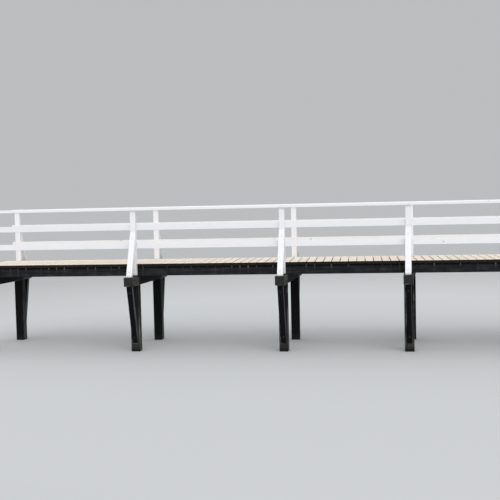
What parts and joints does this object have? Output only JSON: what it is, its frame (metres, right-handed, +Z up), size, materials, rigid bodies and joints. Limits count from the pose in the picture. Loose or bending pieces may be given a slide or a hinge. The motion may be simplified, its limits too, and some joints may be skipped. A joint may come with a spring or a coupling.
{
  "type": "wooden footbridge",
  "caption": "Low timber footbridge on braced pile bents, with a plank deck and white three-rail railings held by raking struts.",
  "frame": {"origin": "middle of the footprint, on the level of the pile feet", "axes": "+X along the bridge, +Y from the near side to the far side, +Z up"},
  "size_m": [13.38, 1.96, 2.56],
  "materials": {
    "deck_timber": "bare, weathered",
    "black_timber": "black stain, worn",
    "pile_timber": "black stain, weathered",
    "white_timber": "white paint"
  },
  "bodies": {
    "root": {"deck_boards_bay_1": "deck_timber", "deck_boards_bay_2": "deck_timber", "deck_boards_bay_3": "deck_timber", "deck_boards_bay_4": "deck_timber", "deck_boards_bay_5": "deck_timber", "near_edge_beam": "black_timber", "far_edge_beam": "black_timber", "inner_stringers": "black_timber", "cap_beam_1": "black_timber", "cap_beam_2": "black_timber", "cap_beam_3": "black_timber", "cap_beam_4": "black_timber", "cap_beam_5": "black_timber", "cap_beam_6": "black_timber", "piles_1": "pile_timber", "piles_2": "pile_timber", "piles_3": "pile_timber", "piles_4": "pile_timber", "piles_5": "pile_timber", "piles_6": "pile_timber", "lower_braces_1": "black_timber", "lower_braces_2": "black_timber", "lower_braces_3": "black_timber", "lower_braces_4": "black_timber", "lower_braces_5": "black_timber", "lower_braces_6": "black_timber", "posts_1": "white_timber", "posts_2": "white_timber", "posts_3": "white_timber", "posts_4": "white_timber", "posts_5": "white_timber", "posts_6": "white_timber", "struts_1": "white_timber", "struts_2": "white_timber", "struts_3": "white_timber", "struts_4": "white_timber", "struts_5": "white_timber", "struts_6": "white_timber", "near_handrail": "white_timber", "far_handrail": "white_timber", "near_mid_rail": "white_timber", "far_mid_rail": "white_timber", "near_low_rail": "white_timber", "far_low_rail": "white_timber"}
  },
  "joints": []
}
